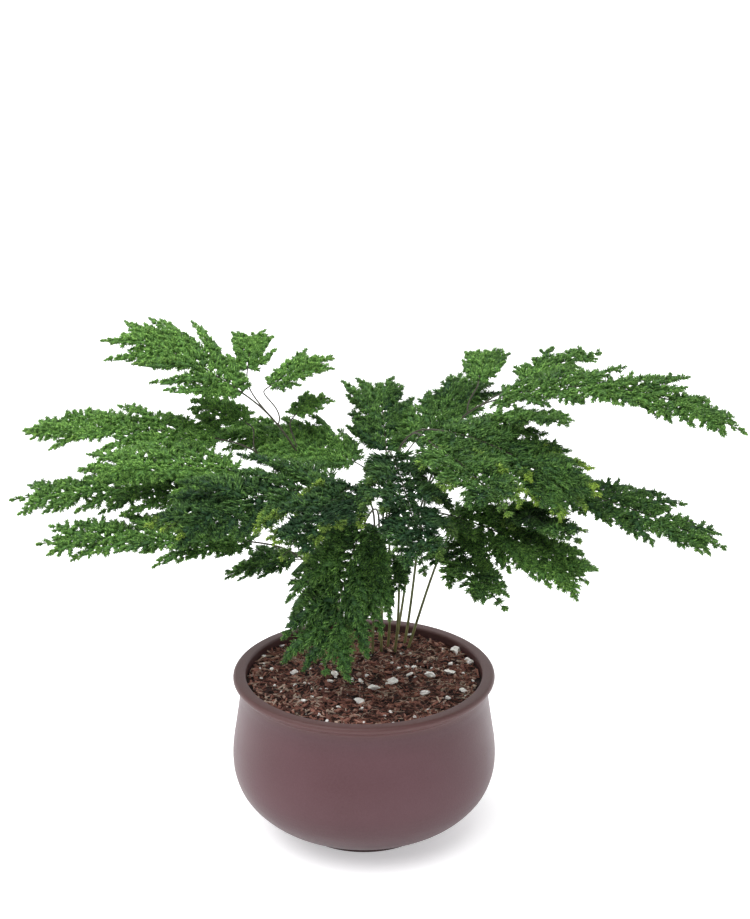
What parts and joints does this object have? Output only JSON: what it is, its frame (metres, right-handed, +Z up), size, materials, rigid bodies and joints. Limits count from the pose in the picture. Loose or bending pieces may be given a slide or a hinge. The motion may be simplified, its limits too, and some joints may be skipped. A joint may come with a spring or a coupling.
{
  "type": "lace fern in a clay pot",
  "caption": "Lace fern with flat, layered, needle-leaved fronds on thin wiry stems, growing in soil in a low round clay pot that stands on its foot ring.",
  "frame": {"origin": "centre of the pot's foot, on the surface that it stands on", "axes": "+Z up, +X along the plant's greatest width, -Y towards the side that is shown at the front"},
  "size_m": [0.404, 0.2264, 0.2825],
  "materials": {
    "clay": "matte",
    "soil": "matte",
    "foliage": "matte"
  },
  "bodies": {
    "root": {"pot": "clay", "soil": "soil", "stem_left_top": "foliage", "stem_left_high": "foliage", "stem_left_middle": "foliage", "stem_left_low": "foliage", "stem_front_left": "foliage", "stem_front_drooping": "foliage", "stem_front_centre": "foliage", "stem_front_right": "foliage", "stem_right_centre": "foliage", "stem_right_middle": "foliage", "stem_right_top": "foliage", "stem_back_top": "foliage", "stem_back_left": "foliage", "stem_back_right": "foliage"}
  },
  "joints": []
}
